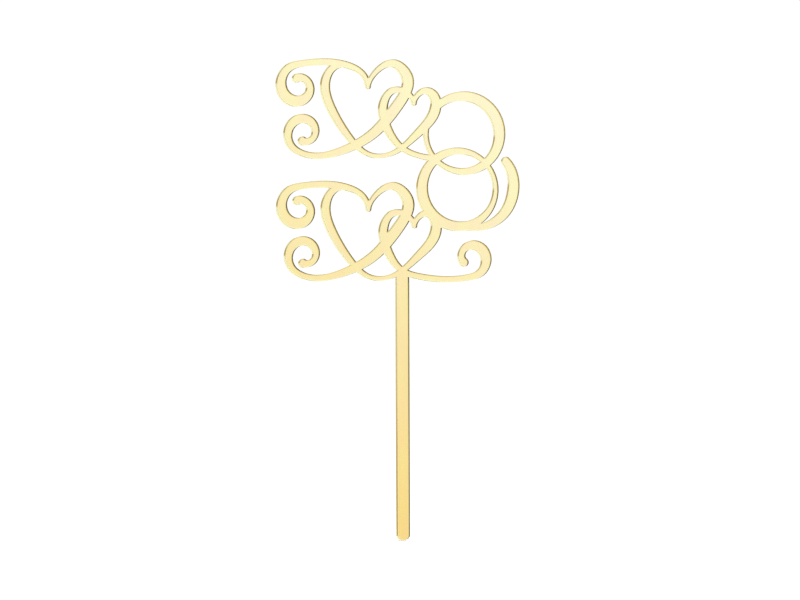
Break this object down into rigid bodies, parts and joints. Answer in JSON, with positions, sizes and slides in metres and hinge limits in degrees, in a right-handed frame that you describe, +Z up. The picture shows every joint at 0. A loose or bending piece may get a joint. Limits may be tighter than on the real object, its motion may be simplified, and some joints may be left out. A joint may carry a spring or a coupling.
{
  "type": "cake topper",
  "caption": "Flat gold mirror acrylic cake topper: interlaced hearts with scrolled ends and linked rings, over one long flat stick that is pushed into the cake.",
  "frame": {"origin": "tip of the stick, in the middle of its width and of the sheet's thickness", "axes": "+Z up along the stick, +X to the right as seen from the front, front face towards -Y"},
  "size_m": [0.1316, 0.003, 0.2551],
  "materials": {
    "gold_acrylic": "polished, gold-tinted, laser-cut edges",
    "mirror_film": "bright aluminium film",
    "grey_lacquer": "matte protective lacquer"
  },
  "bodies": {
    "root": {"acrylic_sheet": "gold_acrylic", "mirror_film": "mirror_film", "back_lacquer": "grey_lacquer"}
  },
  "joints": []
}
